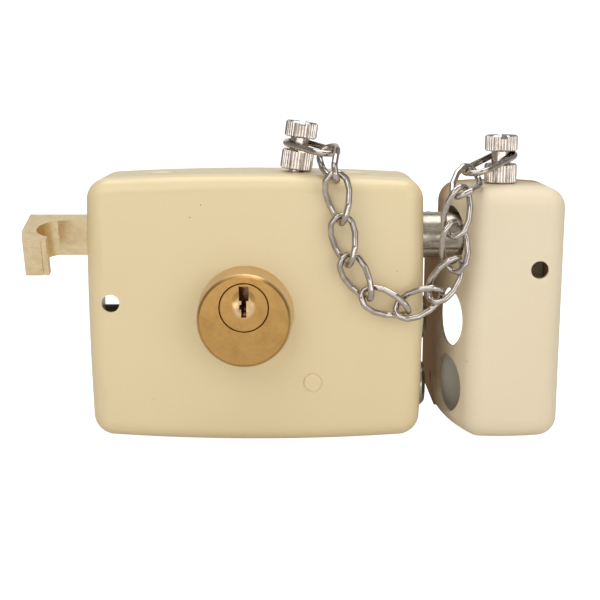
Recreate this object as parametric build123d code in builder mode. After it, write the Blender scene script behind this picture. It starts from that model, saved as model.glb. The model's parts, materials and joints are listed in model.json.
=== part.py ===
from build123d import *
import os
from math import acos, cos, pi, radians, sin, sqrt, tan

# Rim night latch: lock case, two key-thrown deadbolts, spring latch with a pull handle,
# keeper box and door chain. Millimetres. X runs from the handle to the keeper, Z is up,
# Y points into the door. The origin is where the cylinder axis meets the door face (Y = 0).

# ---------------------------------------------------------------- driving dimensions
CASE_LEFT = -53.8
CASE_RIGHT = 60.2
CASE_TOP = 42.0
CASE_BOTTOM = -50.2
CASE_DEPTH = 31.5
CASE_WALL = 1.2
CASE_CORNER_R = 7.5
CASE_EDGE_R = 6.0
TOP_CROWN = 1.7
BOTTOM_CROWN = 2.2
SIDE_CROWN = 0.8
BACK_PLATE = 2.0
PLATE_GAP = 0.15

BOLT_D = 16.0
BOLT_Y = -15.5
LATCH_Z = 20.0
DEADBOLT_Z = (-8.8, -32.8)
DEADBOLT_TIP_X = 62.0
DEADBOLT_LENGTH = 42.0
LATCH_TIP_X = 76.5
LATCH_LENGTH = 42.5
BOLT_RUNNING_GAP = 0.08
COVER_HOLE_GAP = 0.35

HANDLE_TILT = 14.0
HANDLE_HEIGHT = 12.7
HANDLE_THICKNESS = 6.2
ROD_D = 6.0

CYLINDER_DROP = 4.5
CYLINDER_HEAD_D = 32.4
CYLINDER_FRONT_D = 31.0
CYLINDER_BODY_D = 30.0
CYLINDER_PROUD = 13.0
CYLINDER_REAR_Y = -14.0
PLUG_D = 16.0
PLUG_GAP = 0.05
PIN_D = 2.9
PIN_BORE_D = 3.0
PIN_COUNT = 5
PIN_PITCH = 4.2
FIRST_PIN_Y = -38.5
KEY_PIN_TOPS = (-2.4, -1.5, -2.8, -1.9, -2.2)

GEAR_MODULE = 1.0
PRESSURE_ANGLE = 25.0
DRIVE_TEETH = 12
WHEEL_TEETH = 24
PINION_TEETH = 12
GEAR_WIDTH = 3.0
TOOTH_THINNING = 0.12
STUD_D = 4.0
COMPOUND_BEARING = 236.3

KEEPER_BACK_LEFT = 67.8
KEEPER_FRONT_LEFT = 76.8
KEEPER_RIGHT = 107.5
KEEPER_TOP = 38.0
KEEPER_BOTTOM = -49.6
KEEPER_WALL = 1.4
KEEPER_EDGE_R = 7.0
KEEPER_HOLE_D = 20.5
LEG_DEPTH = 40.0

POST_D = 11.0
POST_BASE = 6.6
POST_NECK = 4.2
POST_NECK_D = 6.4
POST_HEAD = 5.4
LEFT_POST_X = 16.9
RIGHT_POST_X = 87.0
LEFT_POST_LEAN = 8.0
KNURL_COUNT = 36

WIRE_D = 2.1
LINK_LENGTH = 19.2
LINK_WIDTH = 10.8
LINK_TWIST = 84.0
RING_LENGTH = 23.5
RING_WIDTH = 11.4
RING_SLACK = 0.3

os.makedirs("parts", exist_ok=True)


def save(piece, name):
    piece.part.label = name
    export_step(piece.part, "parts/" + name + ".step")


# ---------------------------------------------------------------- case cover
def case_outline(inset):
    """Front view of the case: four shallow arcs with rounded corners."""
    left = CASE_LEFT + inset
    right = CASE_RIGHT - inset
    top = CASE_TOP - inset
    bottom = CASE_BOTTOM + inset
    middle_x = (left + right) / 2
    middle_z = (top + bottom) / 2
    upper_left = (left + SIDE_CROWN, top - TOP_CROWN)
    upper_right = (right - SIDE_CROWN, top - TOP_CROWN)
    lower_left = (left + SIDE_CROWN, bottom + BOTTOM_CROWN)
    lower_right = (right - SIDE_CROWN, bottom + BOTTOM_CROWN)
    with BuildSketch(Plane.XZ) as outline:
        with BuildLine():
            ThreePointArc(upper_left, (middle_x, top), upper_right)
            ThreePointArc(upper_right, (right, middle_z), lower_right)
            ThreePointArc(lower_right, (middle_x, bottom), lower_left)
            ThreePointArc(lower_left, (left, middle_z), upper_left)
        make_face()
        fillet(outline.vertices(), CASE_CORNER_R - inset)
    return outline.sketch


def case_block(inset, depth):
    """The case's outer or inner form, domed only at its front edges."""
    outline = case_outline(inset)
    with BuildPart() as block:
        extrude(outline, amount=depth)
        front = block.faces().sort_by(Axis.Y)[0]
        fillet(front.edges(), CASE_EDGE_R - inset)
    return block.part


FIXING_HOLE = (-45.5, -1.2)
FIXING_HOLE_D = 6.0
RIVET_PLACE = (22.7, -28.6)
RIVET_SHANK_D = 3.0
COVER_SCREW_X = (-29.4, 36.9)
SCREW_HEAD_D = 11.4
SCREW_SHANK_D = 4.0
POST_STUD_D = 5.0

cover_outer = case_block(0, CASE_DEPTH)
cover_inner = case_block(CASE_WALL, CASE_DEPTH - CASE_WALL)


def top_height(x):
    """Height of the crowned top of the case at x."""
    half = (CASE_RIGHT - CASE_LEFT) / 2 - SIDE_CROWN
    middle = (CASE_RIGHT + CASE_LEFT) / 2
    return CASE_TOP - TOP_CROWN * ((x - middle) / half) ** 2


def bottom_height(x):
    """Height of the crowned underside of the case at x."""
    half = (CASE_RIGHT - CASE_LEFT) / 2 - SIDE_CROWN
    middle = (CASE_RIGHT + CASE_LEFT) / 2
    return CASE_BOTTOM + BOTTOM_CROWN * ((x - middle) / half) ** 2


with BuildPart() as case_cover:
    add(cover_outer)
    add(cover_inner, mode=Mode.SUBTRACT)
    # cylinder opening, fixing hole and rivet hole in the front
    with BuildSketch(Plane.XZ.offset(CASE_DEPTH + 1)):
        with Locations((0, -CYLINDER_DROP)):
            Circle(CYLINDER_BODY_D / 2 + 0.15)
        with Locations(FIXING_HOLE):
            Circle(FIXING_HOLE_D / 2)
        with Locations(RIVET_PLACE):
            Circle(RIVET_SHANK_D / 2 + 0.05)
    extrude(amount=-CASE_WALL - 2, mode=Mode.SUBTRACT)
    # three bolt openings in the right wall
    with BuildSketch(Plane.YZ.offset(CASE_RIGHT - 4)):
        with Locations((BOLT_Y, LATCH_Z), (BOLT_Y, DEADBOLT_Z[0]), (BOLT_Y, DEADBOLT_Z[1])):
            Circle(BOLT_D / 2 + COVER_HOLE_GAP)
    extrude(amount=6, mode=Mode.SUBTRACT)
    # slot for the pull handle in the left wall
    with BuildSketch(Plane.YZ.offset(CASE_LEFT - 1)):
        with Locations((BOLT_Y, LATCH_Z)):
            RectangleRounded(HANDLE_THICKNESS + 1.0, HANDLE_HEIGHT + 1.0, 0.8, rotation=HANDLE_TILT)
    extrude(amount=6, mode=Mode.SUBTRACT)
    # hole for the chain post's stud in the top
    with BuildSketch(Plane.XY.offset(CASE_TOP - 5)):
        with Locations((LEFT_POST_X, BOLT_Y)):
            Circle(POST_STUD_D / 2 + 0.6)
    extrude(amount=8, mode=Mode.SUBTRACT)
    # countersunk seats of the cover screws, two above and two below
    for screw_x in COVER_SCREW_X:
        with Locations(Location((screw_x, BOLT_Y, top_height(screw_x) - 0.8), (0, 0, 0))):
            Cone(SCREW_SHANK_D / 2 + 1.0, SCREW_HEAD_D / 2 + 0.9, 3.4, mode=Mode.SUBTRACT)
        with Locations(Location((screw_x, BOLT_Y, bottom_height(screw_x) + 0.8), (180, 0, 0))):
            Cone(SCREW_SHANK_D / 2 + 1.0, SCREW_HEAD_D / 2 + 0.9, 3.4, mode=Mode.SUBTRACT)
save(case_cover, "case_cover")

# ---------------------------------------------------------------- back plate and brackets
TAIL_BORE_D = 10.0
DOOR_SCREW_X = (-38.0, 44.0)
DOOR_SCREW_Z = (-40.0, 32.0)
DOOR_SCREW_D = 5.2
FRONT_OF_PLATE = -BACK_PLATE
# open notch in the plate's left edge, behind the fixing hole
NOTCH_RIGHT = -41.0
NOTCH_LOW = -7.5
NOTCH_HIGH = 6.0

plate_outline = case_outline(CASE_WALL + PLATE_GAP)
with BuildPart() as back_plate:
    extrude(plate_outline, amount=BACK_PLATE)
    with BuildSketch(Plane.XZ.offset(BACK_PLATE + 1)):
        Circle(TAIL_BORE_D / 2)
        with Locations(((CASE_LEFT + NOTCH_RIGHT) / 2, (NOTCH_LOW + NOTCH_HIGH) / 2)):
            Rectangle(NOTCH_RIGHT - CASE_LEFT, NOTCH_HIGH - NOTCH_LOW)
        for screw_x in DOOR_SCREW_X:
            for screw_z in DOOR_SCREW_Z:
                with Locations((screw_x, screw_z)):
                    Circle(DOOR_SCREW_D / 2)
    extrude(amount=-BACK_PLATE - 2, mode=Mode.SUBTRACT)
save(back_plate, "back_plate")

LUG_WIDTH = 11.0
LUG_HEIGHT = 4.2
LUG_GAP = 0.1
with BuildPart() as cover_lugs:
    for screw_x in COVER_SCREW_X:
        edge_x = screw_x + LUG_WIDTH / 2 * (1 if screw_x > 0 else -1)
        upper = top_height(edge_x) - CASE_WALL - LUG_GAP
        lower = bottom_height(edge_x) + CASE_WALL + LUG_GAP
        for seat, way in ((upper, -1), (lower, 1)):
            with BuildSketch(Plane.XY.offset(seat)):
                with Locations((screw_x, (BOLT_Y - 5 + FRONT_OF_PLATE) / 2)):
                    Rectangle(LUG_WIDTH, -BOLT_Y + 5 + FRONT_OF_PLATE)
            extrude(amount=way * LUG_HEIGHT)
            with BuildSketch(Plane.XY.offset(seat - way)):
                with Locations((screw_x, BOLT_Y)):
                    Circle(SCREW_SHANK_D / 2 + 0.05)
            extrude(amount=way * (LUG_HEIGHT + 2), mode=Mode.SUBTRACT)
            # relief for the swaged underside of the countersink
            with Locations(Location((screw_x, BOLT_Y, seat), (0 if way < 0 else 180, 0, 0))):
                Cone(SCREW_SHANK_D / 2 + 0.05, 5.2, 3.2, mode=Mode.SUBTRACT)
save(cover_lugs, "cover_lugs")


def cover_screw(x, top, way):
    """One countersunk slotted screw; way is +1 for a screw that points down."""
    with BuildPart(mode=Mode.PRIVATE) as screw:
        with BuildSketch(Plane.XZ):
            with BuildLine():
                Polyline((0, 0), (4.3, 0), (4.3, -0.4), (SCREW_SHANK_D / 2, -2.5),
                         (SCREW_SHANK_D / 2, -7.0), (0, -7.0), close=True)
            make_face()
        revolve(axis=Axis.Z)
        with BuildSketch(Plane.XY.offset(1)):
            Rectangle(9.0, 1.1)
        extrude(amount=-1.9, mode=Mode.SUBTRACT)
    turn = 0 if way > 0 else 180
    return Location((x, BOLT_Y, top - 0.35 * way), (turn, 0, 0)) * screw.part


top_screws = [cover_screw(x, top_height(x), 1) for x in COVER_SCREW_X]
bottom_screws = [cover_screw(x, bottom_height(x), -1) for x in COVER_SCREW_X]
with BuildPart() as cover_screws:
    for screw in top_screws + bottom_screws:
        add(screw)
save(cover_screws, "cover_screws")

with BuildPart() as face_rivet:
    with BuildSketch(Plane.XZ.offset(CASE_DEPTH)):
        with Locations(RIVET_PLACE):
            Circle(3.1)
    extrude(amount=0.8)
    fillet(face_rivet.faces().sort_by(Axis.Y)[0].edges(), 0.6)
    with BuildSketch(Plane.XZ.offset(CASE_DEPTH + 0.1)):
        with Locations(RIVET_PLACE):
            Circle(RIVET_SHANK_D / 2)
    extrude(amount=-CASE_WALL - 0.8)
    with BuildSketch(Plane.XZ.offset(CASE_DEPTH - CASE_WALL - 0.05)):
        with Locations(RIVET_PLACE):
            Circle(2.4)
    extrude(amount=-0.9)
save(face_rivet, "face_rivet")

GUIDE_X = 54.0
GUIDE_THICK = 2.5
GUIDE_FRONT = -27.0
GUIDE_FLANGE = 12.0
FLANGE_THICK = 1.6
GUIDE_RIVET_Z = (-20.5, 6.0)
GUIDE_RIVET_X = GUIDE_X - GUIDE_FLANGE / 2
with BuildPart() as bolt_guide:
    with BuildSketch(Plane.YZ.offset(GUIDE_X)):
        with Locations(((GUIDE_FRONT + FRONT_OF_PLATE) / 2, (DEADBOLT_Z[1] + LATCH_Z) / 2)):
            Rectangle(FRONT_OF_PLATE - GUIDE_FRONT, LATCH_Z - DEADBOLT_Z[1] + BOLT_D + 6)
        for bolt_z in (LATCH_Z, DEADBOLT_Z[0], DEADBOLT_Z[1]):
            with Locations((BOLT_Y, bolt_z)):
                Circle(BOLT_D / 2 + BOLT_RUNNING_GAP, mode=Mode.SUBTRACT)
    extrude(amount=GUIDE_THICK)
    with BuildSketch(Plane.XZ.offset(BACK_PLATE)):
        with Locations((GUIDE_RIVET_X, (GUIDE_RIVET_Z[0] + GUIDE_RIVET_Z[1]) / 2)):
            Rectangle(GUIDE_FLANGE, 36)
        for rivet_z in GUIDE_RIVET_Z:
            with Locations((GUIDE_RIVET_X, rivet_z)):
                Circle(1.55, mode=Mode.SUBTRACT)
    extrude(amount=FLANGE_THICK)
save(bolt_guide, "bolt_guide")

ROD_GUIDE_X = 0.0
ROD_GUIDE_BOTTOM = 12.0
ROD_GUIDE_TOP = 28.0
ROD_GUIDE_RIVET_X = -5.0
with BuildPart() as rod_guide:
    with BuildSketch(Plane.YZ.offset(ROD_GUIDE_X)):
        with Locations(((BOLT_Y - 7 + FRONT_OF_PLATE) / 2, (ROD_GUIDE_BOTTOM + ROD_GUIDE_TOP) / 2)):
            Rectangle(FRONT_OF_PLATE - BOLT_Y + 7, ROD_GUIDE_TOP - ROD_GUIDE_BOTTOM)
        with Locations((BOLT_Y, LATCH_Z)):
            Circle(ROD_D / 2 + BOLT_RUNNING_GAP, mode=Mode.SUBTRACT)
    extrude(amount=2.0)
    with BuildSketch(Plane.XZ.offset(BACK_PLATE)):
        with Locations((ROD_GUIDE_RIVET_X, LATCH_Z)):
            Rectangle(10.0, 14.0)
            Circle(1.55, mode=Mode.SUBTRACT)
    extrude(amount=FLANGE_THICK)
save(rod_guide, "rod_guide")

# ---------------------------------------------------------------- key cylinder
cylinder_front_y = -CASE_DEPTH - CYLINDER_PROUD
pin_stations = [FIRST_PIN_Y + index * PIN_PITCH for index in range(PIN_COUNT)]
KEYWAY_TOP = 7.1
KEYWAY_STEP = 2.2
KEYWAY_BOTTOM = -3.2
KEYWAY_WIDE = 3.2
KEYWAY_NARROW = 1.7

PLUG_EDGE_BEVEL = 0.25
with BuildPart() as cylinder_shell:
    # body behind the cover, with the groove of the retaining clip
    with BuildSketch(Plane.XZ.offset(-CYLINDER_REAR_Y)):
        with Locations((0, -CYLINDER_DROP)):
            Circle(CYLINDER_BODY_D / 2)
    extrude(amount=CASE_DEPTH + CYLINDER_REAR_Y + 1)
    with BuildSketch(Plane.XZ.offset(CASE_DEPTH - CASE_WALL - 1.8)):
        with Locations((0, -CYLINDER_DROP)):
            Circle(CYLINDER_BODY_D / 2)
            Circle(CYLINDER_BODY_D / 2 - 1.0, mode=Mode.SUBTRACT)
    extrude(amount=1.7, mode=Mode.SUBTRACT)
    # tapered head with a bevelled rim, standing on the cover
    with BuildSketch(Plane.XZ.offset(CASE_DEPTH)):
        with Locations((0, -CYLINDER_DROP)):
            Circle(CYLINDER_HEAD_D / 2)
    with BuildSketch(Plane.XZ.offset(CASE_DEPTH + CYLINDER_PROUD)):
        with Locations((0, -CYLINDER_DROP)):
            Circle(CYLINDER_FRONT_D / 2)
    loft()
    rim = cylinder_shell.faces().sort_by(Axis.Y)[0]
    chamfer(rim.edges(), 0.9)
    # bore of the plug and the pin bores below it
    with BuildSketch(Plane.XZ.offset(CASE_DEPTH + CYLINDER_PROUD + 1)):
        Circle(PLUG_D / 2 + PLUG_GAP)
    extrude(amount=-(CASE_DEPTH + CYLINDER_PROUD + CYLINDER_REAR_Y + 3), mode=Mode.SUBTRACT)
    with Locations(Location((0, -CASE_DEPTH - CYLINDER_PROUD + PLUG_EDGE_BEVEL / 2, 0), (90, 0, 0))):
        Cone(PLUG_D / 2 + PLUG_GAP, PLUG_D / 2 + PLUG_GAP + PLUG_EDGE_BEVEL, PLUG_EDGE_BEVEL,
             mode=Mode.SUBTRACT)
    with BuildSketch(Plane.XY.offset(-CYLINDER_DROP)):
        for pin_y in pin_stations:
            with Locations((0, pin_y)):
                Circle(PIN_BORE_D / 2)
    extrude(amount=-20, mode=Mode.SUBTRACT)
save(cylinder_shell, "cylinder_shell")

with BuildPart() as driver_pins:
    with BuildSketch(Plane.XY.offset(-PLUG_D / 2 - 0.12)):
        for pin_y in pin_stations:
            with Locations((0, pin_y)):
                Circle(PIN_D / 2)
    extrude(amount=-4.4)
save(driver_pins, "driver_pins")

PIN_SPRING_TOP = -PLUG_D / 2 - 4.6
PIN_PLUG_TOP = -16.6
PIN_SPRING_LENGTH = PIN_SPRING_TOP - PIN_PLUG_TOP - 0.1


def coil_spring(radius, wire, pitch, height):
    """A helical spring along Z that starts at Z = 0."""
    with BuildPart(mode=Mode.PRIVATE) as coil:
        with BuildLine():
            path = Helix(pitch, height, radius)
        with BuildSketch(Plane(origin=path @ 0, z_dir=path % 0)):
            Circle(wire / 2)
        sweep(path=path)
    return coil.part


pin_coil = coil_spring(1.05, 0.4, 0.95, PIN_SPRING_LENGTH - 0.4)
with BuildPart() as pin_springs:
    for pin_y in pin_stations:
        with Locations((0, pin_y, PIN_PLUG_TOP + 0.25)):
            add(pin_coil)
save(pin_springs, "pin_springs")

with BuildPart() as pin_bore_plugs:
    with BuildSketch(Plane.XY.offset(PIN_PLUG_TOP)):
        for pin_y in pin_stations:
            with Locations((0, pin_y)):
                Circle(PIN_BORE_D / 2 - 0.03)
    extrude(amount=-1.7)
save(pin_bore_plugs, "pin_bore_plugs")

with BuildPart() as cylinder_clip:
    with BuildSketch(Plane.XZ.offset(CASE_DEPTH - CASE_WALL - 1.75)):
        with Locations((0, -CYLINDER_DROP)):
            Circle(CYLINDER_BODY_D / 2 + 3)
            Circle(CYLINDER_BODY_D / 2 - 0.9, mode=Mode.SUBTRACT)
        with Locations((0, -CYLINDER_DROP + 16)):
            Rectangle(20, 20, mode=Mode.SUBTRACT)
    extrude(amount=1.6)
save(cylinder_clip, "cylinder_clip")

PLUG_REAR_Y = -13.0
CLIP_GROOVE_R = 7.0
with BuildPart() as plug:
    with BuildSketch(Plane.XZ.offset(-PLUG_REAR_Y)):
        Circle(PLUG_D / 2)
    extrude(amount=-cylinder_front_y + PLUG_REAR_Y)
    chamfer(plug.faces().sort_by(Axis.Y)[0].edges(), PLUG_EDGE_BEVEL)
    # shallow cone around the key's entry
    with Locations(Location((0, cylinder_front_y, 2.2), (90, 0, 0))):
        Cone(2.2, 5.6, 1.2, mode=Mode.SUBTRACT)
    # keyway
    with BuildSketch(Plane.XZ.offset(-cylinder_front_y + 1)):
        with Locations((0, (KEYWAY_TOP + KEYWAY_STEP) / 2)):
            Rectangle(KEYWAY_WIDE, KEYWAY_TOP - KEYWAY_STEP)
        with Locations((0, (KEYWAY_STEP + KEYWAY_BOTTOM) / 2)):
            Rectangle(KEYWAY_NARROW, KEYWAY_STEP - KEYWAY_BOTTOM)
        with Locations((-KEYWAY_NARROW / 2 - 0.3, 0.2)):
            Rectangle(0.7, 1.6)
    extrude(amount=-26, mode=Mode.SUBTRACT)
    # pin bores, rear clip groove and tail slot
    with BuildSketch(Plane.XY.offset(KEYWAY_BOTTOM + 2.2)):
        for pin_y in pin_stations:
            with Locations((0, pin_y)):
                Circle(PIN_BORE_D / 2)
    extrude(amount=-9, mode=Mode.SUBTRACT)
    with BuildSketch(Plane.XZ.offset(-CYLINDER_REAR_Y - 0.95)):
        Circle(PLUG_D / 2 + 1)
        Circle(CLIP_GROOVE_R, mode=Mode.SUBTRACT)
    extrude(amount=0.85, mode=Mode.SUBTRACT)
    with BuildSketch(Plane.XZ.offset(-PLUG_REAR_Y - 1)):
        Rectangle(2.1, 7.1)
    extrude(amount=6.0, mode=Mode.SUBTRACT)
save(plug, "plug")

pin_bottom = -PLUG_D / 2 + 0.05
with BuildPart() as key_pins:
    for pin_y, pin_top in zip(pin_stations, KEY_PIN_TOPS):
        with BuildSketch(Plane.XY.offset(pin_bottom)):
            with Locations((0, pin_y)):
                Circle(PIN_D / 2)
        extrude(amount=pin_top - pin_bottom)
    # pins end flush with the round plug
    with BuildSketch(Plane.XZ.offset(-PLUG_REAR_Y)):
        Circle(PLUG_D / 2 - 0.03)
    extrude(amount=-cylinder_front_y, mode=Mode.INTERSECT)
    top_ends = key_pins.faces().filter_by(Axis.Z).group_by(Axis.Z)
    chamfer([edge for group in top_ends for face in group for edge in face.edges()], 0.45)
save(key_pins, "key_pins")

with BuildPart() as plug_clip:
    with BuildSketch(Plane.XZ.offset(-CYLINDER_REAR_Y - 0.9)):
        Circle(PLUG_D / 2 + 1.6)
        Circle(CLIP_GROOVE_R + 0.03, mode=Mode.SUBTRACT)
        with Locations((0, -10)):
            Rectangle(9, 10, mode=Mode.SUBTRACT)
    extrude(amount=0.75)
save(plug_clip, "plug_clip")

TAIL_WIDTH = 7.0
TAIL_THICK = 2.0
TAIL_END_Y = -3.0
TAIL_IN_PLUG = 4.5
with BuildPart() as tail_bar:
    with BuildSketch(Plane.XZ.offset(-PLUG_REAR_Y + TAIL_IN_PLUG)):
        Rectangle(TAIL_THICK, TAIL_WIDTH)
    extrude(amount=-(TAIL_END_Y - PLUG_REAR_Y + TAIL_IN_PLUG))
save(tail_bar, "tail_bar")


# ---------------------------------------------------------------- gear train
def involute_point(base_r, r, start_angle):
    """Point of the involute of a circle, at radius r, turned by start_angle."""
    if r <= base_r:
        return (r * cos(start_angle), r * sin(start_angle))
    roll = sqrt((r / base_r) ** 2 - 1)
    angle = start_angle + roll - acos(base_r / r)
    return (r * cos(angle), r * sin(angle))


def gear_sketch(teeth, turn, bore_d):
    """Full-depth spur gear; turn is the angle of one tooth's middle, in degrees."""
    pitch_r = GEAR_MODULE * teeth / 2
    base_r = pitch_r * cos(radians(PRESSURE_ANGLE))
    tip_r = pitch_r + GEAR_MODULE * 0.9
    root_r = pitch_r - GEAR_MODULE * 1.2
    half_tooth = pi / (2 * teeth) - TOOTH_THINNING / (2 * pitch_r)
    flank_roll = tan(radians(PRESSURE_ANGLE)) - radians(PRESSURE_ANGLE)
    flank_start = -half_tooth - flank_roll
    flank = [involute_point(base_r, root_r, flank_start)]
    for step in range(5):
        r = base_r + (tip_r - base_r) * step / 4
        flank.append(involute_point(base_r, max(r, base_r * 1.0001), flank_start))
    mirrored = [(x, -y) for x, y in reversed(flank)]
    with BuildSketch(Plane.XY) as tooth:
        with BuildLine():
            Polyline(*flank)
            Line(flank[-1], mirrored[0])
            Polyline(*mirrored)
            Polyline(mirrored[-1], (root_r * 0.6, 0), flank[0])
        make_face()
    with BuildSketch(Plane.XY) as gear:
        Circle(root_r)
        for index in range(teeth):
            add(tooth.sketch, rotation=turn + 360 * index / teeth)
        if bore_d > 0:
            Circle(bore_d / 2, mode=Mode.SUBTRACT)
    return gear.sketch


compound_distance = GEAR_MODULE * (DRIVE_TEETH + WHEEL_TEETH) / 2
compound_x = compound_distance * cos(radians(COMPOUND_BEARING))
compound_z = compound_distance * sin(radians(COMPOUND_BEARING))
pinion_r = GEAR_MODULE * PINION_TEETH / 2
rack_pitch_z = compound_z - pinion_r
GEAR_REAR_Y = -9.8
PINION_REAR_Y = -6.7
# a tooth of the drive gear points along the line of centres, into a gap of the wheel
drive_turn = COMPOUND_BEARING
wheel_turn = COMPOUND_BEARING + 180 + 180 / WHEEL_TEETH
drive_profile = gear_sketch(DRIVE_TEETH, drive_turn, 0)
wheel_profile = gear_sketch(WHEEL_TEETH, wheel_turn, STUD_D + 0.12)
# a tooth of the pinion points straight down, into a gap of the rack
pinion_profile = gear_sketch(PINION_TEETH, -90, STUD_D + 0.12)

with BuildPart() as drive_gear:
    with BuildSketch(Plane.XZ.offset(-GEAR_REAR_Y)):
        add(drive_profile)
        Rectangle(TAIL_THICK + 0.06, TAIL_WIDTH + 0.06, mode=Mode.SUBTRACT)
    extrude(amount=GEAR_WIDTH)
save(drive_gear, "drive_gear")

with BuildPart() as compound_gear:
    with BuildSketch(Plane.XZ.offset(-GEAR_REAR_Y)):
        with Locations((compound_x, compound_z)):
            add(wheel_profile)
    extrude(amount=GEAR_WIDTH)
    with BuildSketch(Plane.XZ.offset(-PINION_REAR_Y)):
        with Locations((compound_x, compound_z)):
            add(pinion_profile)
    extrude(amount=PINION_REAR_Y - GEAR_REAR_Y)
save(compound_gear, "compound_gear")

with BuildPart() as gear_stud:
    with BuildSketch(Plane.XZ.offset(BACK_PLATE)):
        with Locations((compound_x, compound_z)):
            Circle(STUD_D / 2 + 1.6)
    extrude(amount=-PINION_REAR_Y - BACK_PLATE - 0.1)
    with BuildSketch(Plane.XZ.offset(BACK_PLATE)):
        with Locations((compound_x, compound_z)):
            Circle(STUD_D / 2)
    extrude(amount=11.75)
    with BuildSketch(Plane.XZ.offset(12.95)):
        with Locations((compound_x, compound_z)):
            Circle(STUD_D / 2 + 1)
            Circle(STUD_D / 2 - 0.5, mode=Mode.SUBTRACT)
    extrude(amount=0.5, mode=Mode.SUBTRACT)
save(gear_stud, "gear_stud")

with BuildPart() as stud_clip:
    with BuildSketch(Plane.XZ.offset(12.98)):
        with Locations((compound_x, compound_z)):
            Circle(STUD_D / 2 + 1.5)
            Circle(STUD_D / 2 - 0.47, mode=Mode.SUBTRACT)
        with Locations((compound_x, compound_z - 3)):
            Rectangle(2.2, 5, mode=Mode.SUBTRACT)
    extrude(amount=0.44)
save(stud_clip, "stud_clip")

# ---------------------------------------------------------------- deadbolts
RACK_Y = -9.5
RACK_THICK = 2.7
RACK_LEFT = -38.0
RACK_HEIGHT = 5.0
YOKE_LEFT = DEADBOLT_TIP_X - DEADBOLT_LENGTH
YOKE_WIDTH = 13.0
YOKE_MARGIN = 7.0
BOLT_RIVET_D = 4.0
bolt_rivet_x = YOKE_LEFT + YOKE_WIDTH / 2 + 0.5

with BuildPart() as deadbolts:
    with BuildSketch(Plane.YZ.offset(YOKE_LEFT)):
        for bolt_z in DEADBOLT_Z:
            with Locations((BOLT_Y, bolt_z)):
                Circle(BOLT_D / 2)
    extrude(amount=DEADBOLT_LENGTH)
    tips = deadbolts.faces().filter_by(Axis.X).group_by(Axis.X)[-1]
    chamfer([edge for tip in tips for edge in tip.edges()], 1.2)
    # flats that seat on the yoke, and the rivet bores
    with BuildSketch(Plane.XY.offset(DEADBOLT_Z[1] - BOLT_D)):
        with Locations((YOKE_LEFT + YOKE_WIDTH / 2, RACK_Y + 4.95)):
            Rectangle(YOKE_WIDTH + 1.0, 10)
    extrude(amount=DEADBOLT_Z[0] - DEADBOLT_Z[1] + 2 * BOLT_D, mode=Mode.SUBTRACT)
    with BuildSketch(Plane.XZ.offset(9)):
        for bolt_z in DEADBOLT_Z:
            with Locations((bolt_rivet_x, bolt_z)):
                Circle(BOLT_RIVET_D / 2 + 0.04)
    extrude(amount=8, mode=Mode.SUBTRACT)
save(deadbolts, "deadbolts")


def rack_points(left, right, phase_x):
    """Upper edge of the rack, left to right, with a tooth gap under phase_x."""
    pitch = pi * GEAR_MODULE
    tip = rack_pitch_z + GEAR_MODULE * 0.9
    root = rack_pitch_z - GEAR_MODULE * 1.2
    slope = tan(radians(PRESSURE_ANGLE))
    half = pitch / 4 - TOOTH_THINNING / 2
    points = []
    count = int((right - left) / pitch)
    first = phase_x + pitch / 2 - pitch * int((phase_x - left) / pitch)
    for index in range(count):
        middle = first + pitch * index
        if middle + pitch / 2 > right:
            break
        points.append((middle - half - slope * (rack_pitch_z - root), root))
        points.append((middle - half + slope * (tip - rack_pitch_z), tip))
        points.append((middle + half - slope * (tip - rack_pitch_z), tip))
        points.append((middle + half + slope * (rack_pitch_z - root), root))
    return points


teeth_edge = rack_points(RACK_LEFT + 1, 0.0, compound_x)
rack_root_z = teeth_edge[0][1]
rack_bottom_z = rack_pitch_z - RACK_HEIGHT
yoke_top = DEADBOLT_Z[0] + YOKE_MARGIN
yoke_bottom = DEADBOLT_Z[1] - YOKE_MARGIN
with BuildPart() as bolt_rack:
    with BuildSketch(Plane.XZ.offset(-RACK_Y - RACK_THICK)):
        with BuildLine():
            Polyline((RACK_LEFT, rack_bottom_z), (RACK_LEFT, rack_root_z), *teeth_edge,
                     (YOKE_LEFT + 1, rack_root_z), (YOKE_LEFT + 1, rack_bottom_z), close=True)
        make_face()
        with Locations((YOKE_LEFT + YOKE_WIDTH / 2, (yoke_top + yoke_bottom) / 2)):
            Rectangle(YOKE_WIDTH, yoke_top - yoke_bottom)
        for bolt_z in DEADBOLT_Z:
            with Locations((bolt_rivet_x, bolt_z)):
                Circle(BOLT_RIVET_D / 2 + 0.04, mode=Mode.SUBTRACT)
    extrude(amount=RACK_THICK)
save(bolt_rack, "bolt_rack")

with BuildPart() as bolt_rivets:
    for bolt_z in DEADBOLT_Z:
        with BuildSketch(Plane.XZ.offset(-RACK_Y - RACK_THICK - 0.05)):
            with Locations((bolt_rivet_x, bolt_z)):
                Circle(BOLT_RIVET_D / 2 + 1.4)
        extrude(amount=-1.2)
        with BuildSketch(Plane.XZ.offset(-RACK_Y - RACK_THICK - 0.3)):
            with Locations((bolt_rivet_x, bolt_z)):
                Circle(BOLT_RIVET_D / 2)
        extrude(amount=RACK_THICK + 7)
save(bolt_rivets, "bolt_rivets")

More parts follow.
